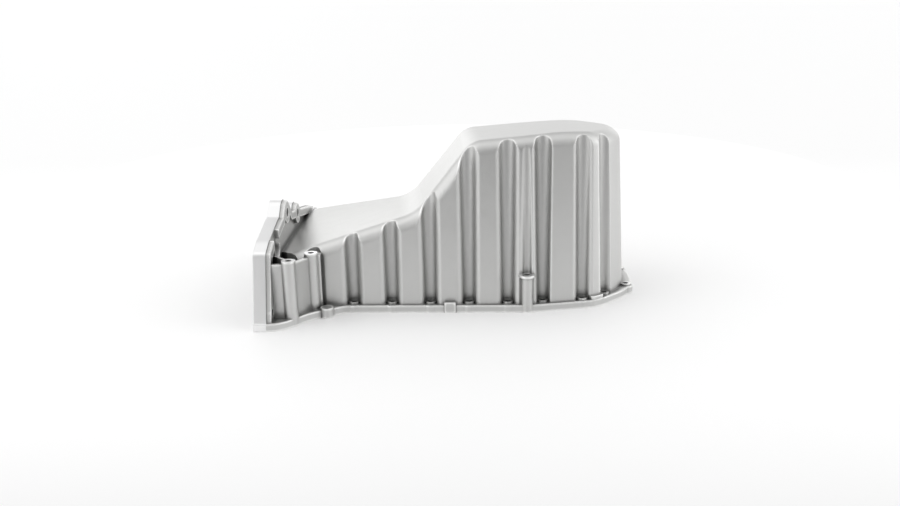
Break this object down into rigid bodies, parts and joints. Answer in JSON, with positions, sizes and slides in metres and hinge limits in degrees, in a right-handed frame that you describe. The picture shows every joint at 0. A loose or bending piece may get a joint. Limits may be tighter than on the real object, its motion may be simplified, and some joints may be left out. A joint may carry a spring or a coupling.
{
  "type": "engine oil pan",
  "caption": "Cast aluminium engine oil pan with fluted walls for its rail screws, shallow end, deep sump and gearbox flange, lying on its gasket face.",
  "frame": {"origin": "middle of the pan's length and width, on the plane of the gasket face", "axes": "+X from the gearbox flange to the front of the engine, +Y across the engine to the drain side, +Z from the gasket face to the floor of the pan, which is up as the pan lies here and down in the car"},
  "size_m": [0.441, 0.347, 0.2062],
  "materials": {
    "cast_aluminium": "bead-blasted casting, satin",
    "washer_copper": "soft copper, dull",
    "plug_steel": "zinc-plated, satin"
  },
  "bodies": {
    "root": {"pan_casting": "cast_aluminium", "drain_washer": "washer_copper", "drain_plug": "plug_steel"}
  },
  "joints": []
}
